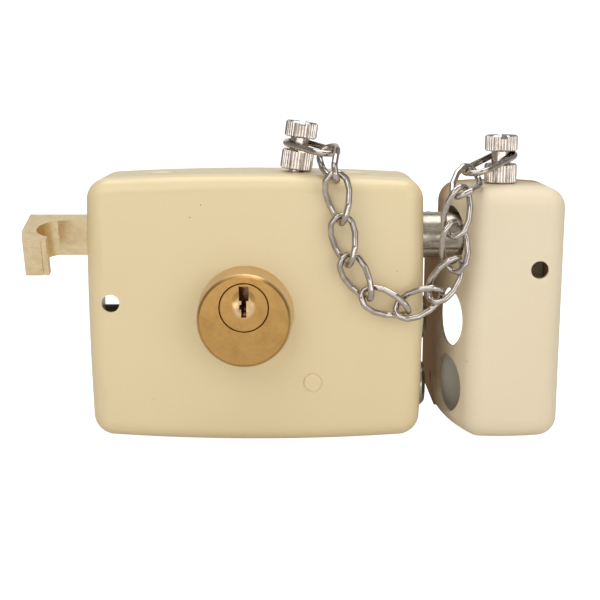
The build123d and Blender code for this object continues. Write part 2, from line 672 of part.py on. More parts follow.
RACK_GUIDE_LEFT = -30.0
RACK_GUIDE_RIGHT = 8.0
rack_guide_top = rack_bottom_z - 0.1
rack_guide_rivet_z = rack_guide_top - 2.2
with BuildPart() as rack_guide:
    with BuildSketch(Plane.XZ.offset(BACK_PLATE)):
        with Locations(((RACK_GUIDE_LEFT + RACK_GUIDE_RIGHT) / 2, rack_guide_top - 2.2)):
            Rectangle(RACK_GUIDE_RIGHT - RACK_GUIDE_LEFT, 4.4)
        for rivet_x in (RACK_GUIDE_LEFT + 5, RACK_GUIDE_RIGHT - 5):
            with Locations((rivet_x, rack_guide_rivet_z)):
                Circle(1.55, mode=Mode.SUBTRACT)
    extrude(amount=-RACK_Y - BACK_PLATE)
    with BuildSketch(Plane.XZ.offset(BACK_PLATE)):
        with Locations(((RACK_GUIDE_LEFT + RACK_GUIDE_RIGHT) / 2, rack_guide_top + 1.0)):
            Rectangle(RACK_GUIDE_RIGHT - RACK_GUIDE_LEFT, 2.2)
    extrude(amount=-RACK_Y - RACK_THICK - 0.12 - BACK_PLATE)
save(rack_guide, "rack_guide")


def flat_rivet(x, z, length):
    """Small rivet from the back plate's front face, standing towards -Y."""
    with BuildPart(mode=Mode.PRIVATE) as rivet:
        with BuildSketch(Plane.XZ.offset(BACK_PLATE + 0.05)):
            with Locations((x, z)):
                Circle(1.5)
        extrude(amount=length)
        with BuildSketch(Plane.XZ.offset(BACK_PLATE + length)):
            with Locations((x, z)):
                Circle(2.4)
        extrude(amount=0.8)
    return rivet.part


bracket_rivets = [flat_rivet(GUIDE_RIVET_X, z, FLANGE_THICK + 0.05) for z in GUIDE_RIVET_Z]
bracket_rivets.append(flat_rivet(ROD_GUIDE_RIVET_X, LATCH_Z, FLANGE_THICK + 0.05))
rack_guide_depth = -RACK_Y - BACK_PLATE + 0.05
for rivet_x in (RACK_GUIDE_LEFT + 5, RACK_GUIDE_RIGHT - 5):
    bracket_rivets.append(flat_rivet(rivet_x, rack_guide_rivet_z, rack_guide_depth))
with BuildPart() as guide_rivets:
    for rivet in bracket_rivets:
        add(rivet)
save(guide_rivets, "guide_rivets")

# ---------------------------------------------------------------- spring latch
LATCH_REAR_X = LATCH_TIP_X - LATCH_LENGTH
LATCH_BEVEL = 10.0
GROOVE_ANGLE = 208.0
HANDLE_INNER_X = -26.0
ROD_SPIGOT = 12.0

with BuildPart() as latch_bolt:
    with BuildSketch(Plane.YZ.offset(LATCH_REAR_X)):
        with Locations((BOLT_Y, LATCH_Z)):
            Circle(BOLT_D / 2)
    extrude(amount=LATCH_LENGTH)
    chamfer(latch_bolt.faces().sort_by(Axis.X)[-1].edges(), 0.8)
    # slanted tip, on the side that meets the keeper as the door closes
    with BuildSketch(Plane.XY.offset(LATCH_Z - BOLT_D)):
        with BuildLine():
            Polyline((LATCH_TIP_X + 1, BOLT_Y - 5), (LATCH_TIP_X - 1, BOLT_Y - 5),
                     (LATCH_TIP_X - LATCH_BEVEL, BOLT_Y + BOLT_D / 2 + 0.5),
                     (LATCH_TIP_X + 1, BOLT_Y + BOLT_D / 2 + 0.5), close=True)
        make_face()
    extrude(amount=2 * BOLT_D, mode=Mode.SUBTRACT)
    # long guide groove, and the bore that takes the rod
    groove_y = BOLT_Y + BOLT_D / 2 * cos(radians(GROOVE_ANGLE))
    groove_z = LATCH_Z + BOLT_D / 2 * sin(radians(GROOVE_ANGLE))
    with BuildSketch(Plane.YZ.offset(LATCH_REAR_X - 1)):
        with Locations((groove_y, groove_z)):
            Rectangle(1.6, 1.0, rotation=GROOVE_ANGLE)
    extrude(amount=LATCH_LENGTH + 2, mode=Mode.SUBTRACT)
    with BuildSketch(Plane.YZ.offset(LATCH_REAR_X - 1)):
        with Locations((BOLT_Y, LATCH_Z)):
            Circle(ROD_D / 2 + 0.03)
    extrude(amount=ROD_SPIGOT + 1, mode=Mode.SUBTRACT)
save(latch_bolt, "latch_bolt")

with BuildPart() as latch_rod:
    with BuildSketch(Plane.YZ.offset(HANDLE_INNER_X + 0.05)):
        with Locations((BOLT_Y, LATCH_Z)):
            Circle(ROD_D / 2)
    extrude(amount=LATCH_REAR_X - HANDLE_INNER_X + ROD_SPIGOT - 0.2)
    with BuildSketch(Plane.YZ.offset(HANDLE_INNER_X + 0.1)):
        with Locations((BOLT_Y, LATCH_Z)):
            Circle(2.0)
    extrude(amount=-ROD_SPIGOT + 0.3)
    with BuildSketch(Plane.XY.offset(LATCH_Z - 8)):
        with Locations((HANDLE_INNER_X - 6, BOLT_Y)):
            Circle(1.04)
    extrude(amount=16, mode=Mode.SUBTRACT)
save(latch_rod, "latch_rod")

tilt = radians(HANDLE_TILT)
handle_plane = Plane(origin=(0, BOLT_Y, LATCH_Z), x_dir=(1, 0, 0), z_dir=(0, -sin(tilt), cos(tilt)))
HOOK_LEFT = -75.2
HOOK_DEPTH = 20.6
HOOK_LIP_X = -65.1
bar_half = HANDLE_THICKNESS / 2
with BuildPart() as pull_handle:
    with BuildSketch(handle_plane) as hook_plan:
        with BuildLine():
            Polyline((HOOK_LIP_X, -17.4), (HOOK_LIP_X, -HOOK_DEPTH), (-72.9, -HOOK_DEPTH),
                     (-74.8, -12.0), (HOOK_LEFT, bar_half), (HANDLE_INNER_X, bar_half),
                     (HANDLE_INNER_X, -bar_half), (-64.6, -bar_half))
            ThreePointArc((-64.6, -bar_half), (-70.1, -11.0), (HOOK_LIP_X, -17.4))
        make_face()
        outside = hook_plan.vertices().filter_by(lambda v: v.X < -72 and v.Y < BOLT_Y - 9)
        fillet(outside, 1.6)
    extrude(amount=HANDLE_HEIGHT / 2, both=True)
    # narrow groove down the face of the lip, and the rod's bore and cross-pin bore
    with BuildSketch(handle_plane):
        with Locations((HOOK_LIP_X - 1.6, -HOOK_DEPTH)):
            Rectangle(0.7, 1.2)
    extrude(amount=HANDLE_HEIGHT / 2 + 1, both=True, mode=Mode.SUBTRACT)
    with BuildSketch(Plane.YZ.offset(HANDLE_INNER_X + 1)):
        with Locations((BOLT_Y, LATCH_Z)):
            Circle(2.03)
    extrude(amount=-ROD_SPIGOT - 1.5, mode=Mode.SUBTRACT)
    with BuildSketch(Plane.XY.offset(LATCH_Z - 10)):
        with Locations((HANDLE_INNER_X - 6, BOLT_Y)):
            Circle(1.04)
    extrude(amount=20, mode=Mode.SUBTRACT)
save(pull_handle, "pull_handle")

with BuildPart() as handle_pin:
    with BuildSketch(Plane.XY.offset(LATCH_Z - 6.2)):
        with Locations((HANDLE_INNER_X - 6, BOLT_Y)):
            Circle(1.0)
    extrude(amount=12.4)
save(handle_pin, "handle_pin")

SPRING_WIRE = 1.0
SPRING_RADIUS = 4.6
spring_length = LATCH_REAR_X - (ROD_GUIDE_X + 2.0)
SPRING_PITCH = 3.4
latch_coil = coil_spring(SPRING_RADIUS, SPRING_WIRE, SPRING_PITCH, spring_length - SPRING_WIRE - 0.3)
with BuildPart() as latch_spring:
    with Locations(Location((ROD_GUIDE_X + 2.15 + SPRING_WIRE / 2, BOLT_Y, LATCH_Z), (0, 90, 0))):
        add(latch_coil)
save(latch_spring, "latch_spring")

# ---------------------------------------------------------------- keeper
KEEPER_CROWN = 1.8
KEEPER_SCREW = (98.6, 10.3)
KEEPER_SCREW_D = 6.0
LEG_HOLE_Y = 12.0
LEG_HOLE_Z = (-38.0, 8.0)
LEG_TOP = 22.0
LEG_BOTTOM = -45.5
FLANK_BULGE = 1.8
flank_run = KEEPER_FRONT_LEFT - KEEPER_BACK_LEFT
flank_length = sqrt(flank_run ** 2 + CASE_DEPTH ** 2)


def keeper_block(inset, depth):
    """The keeper's outer or inner form: slanted, rounded left flank, crowned top and bottom."""
    # the flank moves in by inset measured square to itself
    shift = inset * flank_length / CASE_DEPTH
    back_left = KEEPER_BACK_LEFT + shift
    front_left = back_left + flank_run * depth / CASE_DEPTH
    # the middle of the flank stands proud of the straight line between its ends
    flank_middle = ((back_left + front_left) / 2 - FLANK_BULGE * CASE_DEPTH / flank_length,
                    -depth / 2 - FLANK_BULGE * flank_run / flank_length)
    right = KEEPER_RIGHT - inset
    top = KEEPER_TOP - inset
    bottom = KEEPER_BOTTOM + inset
    middle_x = (KEEPER_BACK_LEFT + KEEPER_RIGHT) / 2
    with BuildPart() as block:
        with BuildSketch(Plane.XY.offset(bottom - 1)):
            with BuildLine():
                ThreePointArc((back_left, 0), flank_middle, (front_left, -depth))
                Polyline((front_left, -depth), (right, -depth), (right, 0), (back_left, 0))
            make_face()
        extrude(amount=top - bottom + 2)
        with BuildSketch(Plane.XZ):
            with BuildLine():
                ThreePointArc((KEEPER_BACK_LEFT - 5, top - KEEPER_CROWN), (middle_x, top),
                              (KEEPER_RIGHT + 5, top - KEEPER_CROWN))
                Line((KEEPER_RIGHT + 5, top - KEEPER_CROWN), (KEEPER_RIGHT + 5, bottom + KEEPER_CROWN))
                ThreePointArc((KEEPER_RIGHT + 5, bottom + KEEPER_CROWN), (middle_x, bottom),
                              (KEEPER_BACK_LEFT - 5, bottom + KEEPER_CROWN))
                Line((KEEPER_BACK_LEFT - 5, bottom + KEEPER_CROWN),
                     (KEEPER_BACK_LEFT - 5, top - KEEPER_CROWN))
            make_face()
        extrude(amount=depth, mode=Mode.INTERSECT)
        outer_edges = block.edges().filter_by(lambda edge: edge.center().Y < -0.5)
        fillet(outer_edges, KEEPER_EDGE_R - inset)
    return block.part


keeper_outer = keeper_block(0, CASE_DEPTH)
keeper_inner = keeper_block(KEEPER_WALL, CASE_DEPTH - KEEPER_WALL)
flank_x = KEEPER_BACK_LEFT + flank_run * BOLT_Y / -CASE_DEPTH
flank_normal = (-CASE_DEPTH, -flank_run, 0)

with BuildPart() as keeper_box:
    add(keeper_outer)
    # leg that wraps round the edge of the door frame
    with BuildSketch(Plane.YZ.offset(KEEPER_BACK_LEFT)):
        with Locations(((LEG_DEPTH - 1.0) / 2, (LEG_TOP + LEG_BOTTOM) / 2)):
            Rectangle(LEG_DEPTH + 1.0, LEG_TOP - LEG_BOTTOM)
    extrude(amount=KEEPER_WALL)
    leg_end = keeper_box.edges().filter_by(Axis.X).filter_by(lambda edge: edge.center().Y > 1)
    fillet(leg_end, 4.0)
    add(keeper_inner, mode=Mode.SUBTRACT)
    # bolt openings, square to the slanted flank
    for bolt_z in (LATCH_Z, DEADBOLT_Z[0], DEADBOLT_Z[1]):
        with BuildSketch(Plane(origin=(flank_x, BOLT_Y, bolt_z), x_dir=(0, 0, 1), z_dir=flank_normal)):
            Circle(KEEPER_HOLE_D / 2)
        extrude(amount=3, both=True, mode=Mode.SUBTRACT)
    with BuildSketch(Plane.XZ.offset(CASE_DEPTH + 1)):
        with Locations(KEEPER_SCREW):
            Circle(KEEPER_SCREW_D / 2)
    extrude(amount=-KEEPER_WALL - 2, mode=Mode.SUBTRACT)
    with BuildSketch(Plane.YZ.offset(KEEPER_BACK_LEFT - 1)):
        for hole_z in LEG_HOLE_Z:
            with Locations((LEG_HOLE_Y, hole_z)):
                Circle(2.75)
    extrude(amount=KEEPER_WALL + 2, mode=Mode.SUBTRACT)
    with BuildSketch(Plane.XY.offset(KEEPER_TOP - 4)):
        with Locations((RIGHT_POST_X, BOLT_Y)):
            Circle(POST_STUD_D / 2 + 0.1)
    extrude(amount=6, mode=Mode.SUBTRACT)
save(keeper_box, "keeper_box")

KEEPER_PLATE_THICK = 1.6
KEEPER_PLATE_GAP = 0.15
KEEPER_PLATE_SCREW_Z = (KEEPER_SCREW[1], -37.7)
PLATE_WINDOW_RIGHT = 94.0
PLATE_WINDOW_LOW = -23.5
PLATE_WINDOW_HIGH = 0.5
with BuildPart() as keeper_plate:
    add(keeper_block(KEEPER_WALL + KEEPER_PLATE_GAP, CASE_DEPTH - KEEPER_WALL))
    with BuildSketch(Plane.XZ):
        Rectangle(400, 400)
    extrude(amount=KEEPER_PLATE_THICK, mode=Mode.INTERSECT)
    # open notch behind the middle bolt opening, and the screw holes
    with BuildSketch(Plane.XZ.offset(-1)):
        with Locations(((KEEPER_BACK_LEFT + PLATE_WINDOW_RIGHT) / 2,
                        (PLATE_WINDOW_LOW + PLATE_WINDOW_HIGH) / 2)):
            Rectangle(PLATE_WINDOW_RIGHT - KEEPER_BACK_LEFT, PLATE_WINDOW_HIGH - PLATE_WINDOW_LOW)
        for screw_z in KEEPER_PLATE_SCREW_Z:
            with Locations((KEEPER_SCREW[0], screw_z)):
                Circle(2.6)
    extrude(amount=KEEPER_PLATE_THICK + 2, mode=Mode.SUBTRACT)
save(keeper_plate, "keeper_plate")

# ---------------------------------------------------------------- chain posts
HEAD_BORE_GAP = 0.05
SPIGOT_D = 4.0


def knurled_disc(height, bore_d, slot):
    """A straight-knurled disc that stands on Z = 0."""
    with BuildPart() as disc:
        with BuildSketch():
            Circle(POST_D / 2)
            with PolarLocations(POST_D / 2 + 0.12, KNURL_COUNT):
                RegularPolygon(0.42, 4, rotation=0, mode=Mode.SUBTRACT)
            if bore_d > 0:
                Circle(bore_d / 2, mode=Mode.SUBTRACT)
        extrude(amount=height)
        with BuildSketch(Plane.XZ):
            with BuildLine():
                Polyline((0, 0), (POST_D / 2 - 0.5, 0), (POST_D / 2, 0.5), (POST_D / 2, height - 0.5),
                         (POST_D / 2 - 0.5, height), (0, height), close=True)
            make_face()
        revolve(axis=Axis.Z, mode=Mode.INTERSECT)
        if slot:
            with BuildSketch(Plane.XY.offset(height + 0.1)):
                Rectangle(1.8, POST_D + 1)
            extrude(amount=-1.3, mode=Mode.SUBTRACT)
    return disc.part


def post_body():
    """Knurled base, smooth neck, spigot for the head and stud, standing on Z = 0."""
    base = knurled_disc(POST_BASE, 0, False)
    with BuildPart() as body:
        add(base)
        with BuildSketch(Plane.XY.offset(POST_BASE - 0.1)):
            Circle(POST_NECK_D / 2)
        extrude(amount=POST_NECK + 0.1)
        with BuildSketch(Plane.XY.offset(POST_BASE + POST_NECK - 0.1)):
            Circle(SPIGOT_D / 2)
        extrude(amount=POST_HEAD - 1.6)
        with BuildSketch():
            Circle(POST_STUD_D / 2)
        extrude(amount=-6.4)
    return body.part


def post_nut():
    """Hexagon nut of the post's stud, with its top face on Z = 0."""
    with BuildPart() as nut:
        with BuildSketch():
            RegularPolygon(4.6, 6)
            Circle(POST_STUD_D / 2 + 0.02, mode=Mode.SUBTRACT)
        extrude(amount=-2.6)
    return nut.part


post_part = post_body()
nut_part = post_nut()
left_seat = Location((LEFT_POST_X, BOLT_Y, top_height(LEFT_POST_X) + 0.8), (0, LEFT_POST_LEAN, 0))
right_seat = Location((RIGHT_POST_X, BOLT_Y, KEEPER_TOP + 0.04))
NUT_DROP = CASE_WALL + 1.75
with BuildPart() as left_post:
    with Locations(left_seat):
        add(post_part)
save(left_post, "left_post")
with BuildPart() as left_post_nut:
    with Locations(left_seat * Location((0, 0, -NUT_DROP))):
        add(nut_part)
save(left_post_nut, "left_post_nut")
with BuildPart() as right_post:
    with Locations(right_seat):
        add(post_part)
save(right_post, "right_post")
with BuildPart() as right_post_nut:
    with Locations(right_seat * Location((0, 0, -KEEPER_WALL - 0.3))):
        add(nut_part)
save(right_post_nut, "right_post_nut")

head_part = knurled_disc(POST_HEAD, 0, True)
with BuildPart() as head_solid:
    add(head_part)
    with BuildSketch(Plane.XY.offset(-1)):
        Circle(SPIGOT_D / 2 + HEAD_BORE_GAP)
    extrude(amount=POST_HEAD - 0.3, mode=Mode.SUBTRACT)
head_seat = Location((0, 0, POST_BASE + POST_NECK + 0.06))
with BuildPart() as left_thumb_head:
    with Locations(left_seat * head_seat):
        add(head_solid.part)
save(left_thumb_head, "left_thumb_head")
with BuildPart() as right_thumb_head:
    with Locations(right_seat * head_seat):
        add(head_solid.part)
save(right_thumb_head, "right_thumb_head")

# ---------------------------------------------------------------- chain
# Where neighbouring links meet, from the left post to the right one. The chain leaves the
# post, comes forward over the edge of the case, hangs in front of it and climbs to the keeper.
CHAIN_Y = -36.2
LEFT_KNOTS = ((27.4, -26.0, 49.2), (29.7, CHAIN_Y, 42.8), (31.8, CHAIN_Y, 27.0),
              (33.8, CHAIN_Y, 14.8), (40.7, CHAIN_Y, 2.4), (52.4, CHAIN_Y, -2.4))
RIGHT_KNOTS = ((75.8, -25.0, 42.6), (70.8, CHAIN_Y, 36.4), (68.8, CHAIN_Y, 24.6),
               (69.7, CHAIN_Y, 13.1), (63.4, CHAIN_Y, 2.9), (52.4, CHAIN_Y, -2.4))
# how far each link is rolled about its own length, from the post down to the lowest knot
LEFT_ROLLS = (49, 33, 31, 27, 13)
RIGHT_ROLLS = (27, -6, 3, -2, -1)


def link_path(length, width, twist, corners):
    """Centre line of a link along X, twisted about its long axis, as a closed run of corners."""
    points = []
    for index in range(corners):
        angle = 2 * pi * (index + 0.5) / corners
        along = (length / 2) * cos(angle)
        across = (width / 2) * sin(angle)
        # fuller than an ellipse, so that the sides stay nearly parallel
        across *= 1.12 if abs(sin(angle)) < 0.9 else 1.0
        turn = radians(twist) / 2 * along / (length / 2)
        points.append((along, across * cos(turn), across * sin(turn)))
    return points


def midpoint(a, b):
    return tuple((u + v) / 2 for u, v in zip(a, b))


def chain_link(length, width, twist):
    """One closed wire link at the origin, its long axis along X and its flat side in XY."""
    corners = 12
    points = link_path(length - WIRE_D, width - WIRE_D, twist, corners)
    half_count = corners // 2
    start = midpoint(points[-1], points[0])
    stop = midpoint(points[half_count - 1], points[half_count])
    with BuildPart() as half:
        with BuildLine():
            path = FilletPolyline(start, *points[:half_count], stop, radius=2.2)
        with BuildSketch(Plane(origin=path @ 0, z_dir=path % 0)):
            Circle(WIRE_D / 2)
        sweep(path=path)
    # the other half is the same run turned half a turn about Z
    with BuildPart() as link:
        add(half.part)
        add(half.part, rotation=(0, 0, 180))
    return link.part


def link_frame(start, stop, roll):
    """Frame at the middle of a link, X along it and Z out of its flat side."""
    along = (Vector(*stop) - Vector(*start)).normalized()
    side = along.cross(Vector(0, -1, 0)).normalized()
    normal = side.cross(along)
    turned = normal * cos(radians(roll)) + side * sin(radians(roll))
    return Plane(origin=midpoint(start, stop), x_dir=along, z_dir=turned)


def end_ring(length, width):
    """A flat ring with straight sides and half-round ends, its long axis along X."""
    with BuildSketch() as middle_line:
        SlotOverall(length - WIRE_D, width - WIRE_D)
    path = middle_line.face().outer_wire()
    with BuildPart() as ring:
        with BuildSketch(Plane(origin=path @ 0, z_dir=path % 0)):
            Circle(WIRE_D / 2)
        sweep(path=path)
    return ring.part


link_part = chain_link(LINK_LENGTH, LINK_WIDTH, LINK_TWIST)
ring_part = end_ring(RING_LENGTH, RING_WIDTH)
neck_centre = POST_BASE + POST_NECK / 2
left_neck = (left_seat * Location((0, 0, neck_centre))).position
right_neck = (right_seat * Location((0, 0, neck_centre))).position


def ring_frame(neck, knot):
    """A ring lies nearly level: it bears on the far side of the neck and reaches past the knot."""
    neck_point = Vector(*neck)
    reach = Vector(*knot) - neck_point
    along = reach.normalized()
    side = Vector(0, 0, 1).cross(along).normalized()
    flat_normal = along.cross(side)
    centre = neck_point + along * (RING_LENGTH / 2 - WIRE_D - POST_NECK_D / 2 - RING_SLACK)
    return Plane(origin=centre, x_dir=along, z_dir=flat_normal)


def save_link(solid, frame, name):
    with BuildPart() as link:
        with Locations(frame.location):
            add(solid)
    save(link, name)


save_link(ring_part, ring_frame(left_neck, LEFT_KNOTS[0]), "ring_left")
save_link(ring_part, ring_frame(right_neck, RIGHT_KNOTS[0]), "ring_right")
link_count = len(LEFT_KNOTS) + len(RIGHT_KNOTS) - 2
for index in range(len(LEFT_KNOTS) - 1):
    frame = link_frame(LEFT_KNOTS[index], LEFT_KNOTS[index + 1], LEFT_ROLLS[index])
    save_link(link_part, frame, "link_%02d" % (index + 1))
for index in range(len(RIGHT_KNOTS) - 1):
    frame = link_frame(RIGHT_KNOTS[index], RIGHT_KNOTS[index + 1], RIGHT_ROLLS[index])
    save_link(link_part, frame, "link_%02d" % (link_count - index))
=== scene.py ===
"""Finishes, light and camera of the rim night latch, laid over its CAD model."""
import json
import math

import bpy
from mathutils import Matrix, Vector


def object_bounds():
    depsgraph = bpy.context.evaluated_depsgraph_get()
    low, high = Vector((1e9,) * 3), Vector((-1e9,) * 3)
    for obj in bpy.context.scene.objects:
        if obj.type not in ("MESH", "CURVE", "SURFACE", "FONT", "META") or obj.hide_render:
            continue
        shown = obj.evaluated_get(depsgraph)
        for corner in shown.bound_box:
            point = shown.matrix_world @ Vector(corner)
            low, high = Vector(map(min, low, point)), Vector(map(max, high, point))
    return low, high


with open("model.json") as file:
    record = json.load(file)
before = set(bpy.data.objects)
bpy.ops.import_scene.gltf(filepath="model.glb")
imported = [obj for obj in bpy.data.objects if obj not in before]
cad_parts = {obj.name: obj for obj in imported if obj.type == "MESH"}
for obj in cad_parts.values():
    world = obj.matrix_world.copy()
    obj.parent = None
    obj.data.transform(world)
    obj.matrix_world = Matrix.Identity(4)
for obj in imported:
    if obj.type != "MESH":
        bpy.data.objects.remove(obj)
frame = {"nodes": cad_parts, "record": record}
cad_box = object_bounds()
nodes = frame["nodes"]


# ------------------------------------------------------------------ shader helpers
class Shader:
    """A material with short calls for the nodes that the finishes share."""

    def __init__(self, name):
        self.material = bpy.data.materials.new(name)
        self.material.use_nodes = True
        self.tree = self.material.node_tree
        self.surface = self.tree.nodes["Principled BSDF"]
        self.place = self.tree.nodes.new("ShaderNodeNewGeometry").outputs["Position"]

    def node(self, kind, **settings):
        made = self.tree.nodes.new(kind)
        for key, value in settings.items():
            setattr(made, key, value)
        return made

    def link(self, source, target):
        self.tree.links.new(source, target)

    def set(self, **values):
        """Set sockets of the surface itself, with _ for each space in a socket's name."""
        for key, value in values.items():
            self.surface.inputs[key.replace("_", " ")].default_value = value

    def stretched(self, scale, spin=(0, 0, 0)):
        """The position, turned by spin and scaled apart along its axes."""
        mapping = self.node("ShaderNodeMapping")
        mapping.inputs["Scale"].default_value = scale
        mapping.inputs["Rotation"].default_value = spin
        self.link(self.place, mapping.inputs["Vector"])
        return mapping.outputs["Vector"]

    def split(self):
        """The position as its three numbers."""
        parts = self.node("ShaderNodeSeparateXYZ")
        self.link(self.place, parts.inputs["Vector"])
        return parts.outputs

    def noise(self, scale=1.0, detail=3.0, rough=0.5, vector=None):
        made = self.node("ShaderNodeTexNoise")
        made.inputs["Scale"].default_value = scale
        made.inputs["Detail"].default_value = detail
        made.inputs["Roughness"].default_value = rough
        self.link(vector or self.place, made.inputs["Vector"])
        return made.outputs["Fac"]

    def cells(self, scale):
        """Scattered points, with the distance to the nearest and a colour for each."""
        made = self.node("ShaderNodeTexVoronoi")
        made.inputs["Scale"].default_value = scale
        self.link(self.place, made.inputs["Vector"])
        return made.outputs

    def ramp(self, source, low, high, out_low=0.0, out_high=1.0):
        made = self.node("ShaderNodeMapRange")
        made.inputs["From Min"].default_value = low
        made.inputs["From Max"].default_value = high
        made.inputs["To Min"].default_value = out_low
        made.inputs["To Max"].default_value = out_high
        self.link(source, made.inputs["Value"])
        return made.outputs["Result"]

    def math(self, operation, first, second=0.0):
        made = self.node("ShaderNodeMath", operation=operation)
        for socket, value in zip(made.inputs, (first, second)):
            if isinstance(value, (int, float)):
                socket.default_value = value
            else:
                self.link(value, socket)
        return made.outputs["Value"]

    def times(self, first, second):
        return self.math("MULTIPLY", first, second)

    def mix(self, factor, first, second):
        made = self.node("ShaderNodeMix", data_type="RGBA")
        self.link(factor, made.inputs["Factor"])
        for socket, value in ((made.inputs[6], first), (made.inputs[7], second)):
            if isinstance(value, tuple):
                socket.default_value = (*value, 1.0)
            else:
                self.link(value, socket)
        return made.outputs[2]

    def tint(self, color, mask, share, other):
        """The colour with a share of another one where the mask is 1."""
        return self.mix(self.times(mask, share), color, other)

    def bump(self, height, distance, strength=1.0, under=None):
        made = self.node("ShaderNodeBump")
        made.inputs["Strength"].default_value = strength
        made.inputs["Distance"].default_value = distance
        self.link(height, made.inputs["Height"])
        if under is not None:
            self.link(under, made.inputs["Normal"])
        return made.outputs["Normal"]

    def radius(self, centre_x, centre_z):
        """Distance from an axis that runs along Y."""
        place = self.split()
        across = self.math("SUBTRACT", place["X"], centre_x)
        up = self.math("SUBTRACT", place["Z"], centre_z)
        squares = self.math("ADD", self.math("POWER", across, 2.0), self.math("POWER", up, 2.0))
        return self.math("SQRT", squares)

    def finish(self, color, roughness, normal):
        for source, target in ((color, "Base Color"), (roughness, "Roughness"), (normal, "Normal")):
            self.link(source, self.surface.inputs[target])
        return self.material


# ------------------------------------------------------------------ colours
# each pair is the main colour, then the one that its patches or tarnish go towards
CREAM = ((0.790, 0.645, 0.385), (0.765, 0.617, 0.355))
KEEPER_CREAM = ((0.830, 0.715, 0.515), (0.805, 0.680, 0.470))
PRIMER = ((0.86, 0.84, 0.72), (0.80, 0.78, 0.64))
PAINT_DUST = (0.62, 0.47, 0.24)
PAINT_GRIME = (0.50, 0.38, 0.20)
PAINT_SPECK = (0.10, 0.07, 0.04)
# painted shade: the dark brown that the keeper's paint turns to towards its back, where shade falls
# between case and keeper
BACK_SHADE_BROWN = (0.215, 0.110, 0.034)

BRASS = ((0.52, 0.300, 0.100), (0.31, 0.162, 0.046))
HANDLE_BRASS = ((0.90, 0.72, 0.44), (0.50, 0.37, 0.19))
# painted highlight: the pale brass painted along the rim of the cylinder head
RIM_HIGHLIGHT_BRASS = (0.78, 0.60, 0.33)
# painted highlight: the pale brass painted in the dimple round the keyway
DIMPLE_HIGHLIGHT_BRASS = (0.80, 0.60, 0.36)
# painted shade: the near black painted in the groove between plug and shell
GROOVE_SHADE = (0.05, 0.025, 0.008)

BRIGHT_NICKEL = ((0.56, 0.505, 0.455), (0.19, 0.155, 0.13))
BOLT_NICKEL = ((0.46, 0.405, 0.335), (0.24, 0.205, 0.17))
STEEL = ((0.50, 0.49, 0.48), (0.24, 0.23, 0.22))
SPRING_STEEL = ((0.34, 0.34, 0.36), (0.15, 0.15, 0.17))
ZINC = ((0.66, 0.66, 0.65), (0.42, 0.43, 0.45))

# places on the key cylinder, in metres: X and Z of an axis, or a distance from the plug's axis
PLUG_CENTRE = (0.0, 0.0)
HEAD_CENTRE = (0.0, -0.0045)
HEAD_RIM = (0.0151, 0.0154)
DIMPLE_EDGE = (0.0028, 0.0040)
GROOVE_RADIUS = 0.00805
GROOVE_EDGE = (0.00008, 0.00022)

# how far back, in metres, the keeper's paint darkens to brown as painted shade
BACK_SHADE_START = -0.016
BACK_SHADE_FULL = 0.008
BACK_SHADE_UNEVEN = 0.012


# ------------------------------------------------------------------ finishes
def enamel(name, colors, shaded_back=False):
    """Enamel on pressed steel: faint orange peel, slow waves, a few nibs and specks.

    A piece can also be made duller, with painted shade that darkens its paint to brown towards its
    back, where it turns matt too.
    """
    s = Shader(name)
    light, deep = colors
    drift = s.ramp(s.noise(scale=16.0, detail=2.0), low=0.3, high=0.7)
    color = s.mix(drift, deep, light)
    dust = s.ramp(s.noise(scale=700.0, rough=0.6), low=0.35, high=0.65)
    color = s.tint(color, dust, 0.04, PAINT_DUST)
    grime = s.ramp(s.noise(scale=38.0, detail=2.0), low=0.35, high=0.85)
    color = s.tint(color, grime, 0.03, PAINT_GRIME)
    roughness = s.ramp(s.noise(scale=160.0, detail=5.0, rough=0.6), low=0.3, high=0.7,
                       out_low=0.28, out_high=0.36)
    if shaded_back:
        # painted shade: the paint darkens to brown and turns matt towards the back, where shade
        # falls between case and keeper
        uneven = s.times(s.noise(scale=90.0, detail=4.0, rough=0.6), BACK_SHADE_UNEVEN)
        back_shade = s.ramp(s.math("ADD", s.split()["Y"], uneven), low=BACK_SHADE_START, high=BACK_SHADE_FULL)
        color = s.mix(back_shade, color, BACK_SHADE_BROWN)
        roughness = s.math("ADD", roughness, s.times(back_shade, 0.5))
        s.set(Coat_Weight=0.0, Specular_IOR_Level=0.12)
    else:
        s.set(Coat_Weight=0.25, Coat_Roughness=0.20, Coat_IOR=1.5, Specular_IOR_Level=0.4)
    speck = s.ramp(s.cells(60.0)["Distance"], low=0.010, high=0.016, out_low=1.0, out_high=0.0)
    color = s.tint(color, speck, 0.75, PAINT_SPECK)
    peel = s.bump(s.noise(scale=900.0, detail=2.0), distance=0.00003, strength=0.5)
    slow = s.noise(scale=26.0, detail=1.0, rough=0.4)
    waves = s.bump(slow, distance=0.0002, strength=0.35, under=peel)
    nibs = s.ramp(s.cells(330.0)["Distance"], low=0.0, high=0.09, out_low=1.0, out_high=0.0)
    few = s.ramp(s.noise(scale=60.0, detail=1.0), low=0.58, high=0.62)
    relief = s.bump(s.times(nibs, few), distance=0.00012, strength=0.6, under=waves)
    return s.finish(color, roughness, relief)


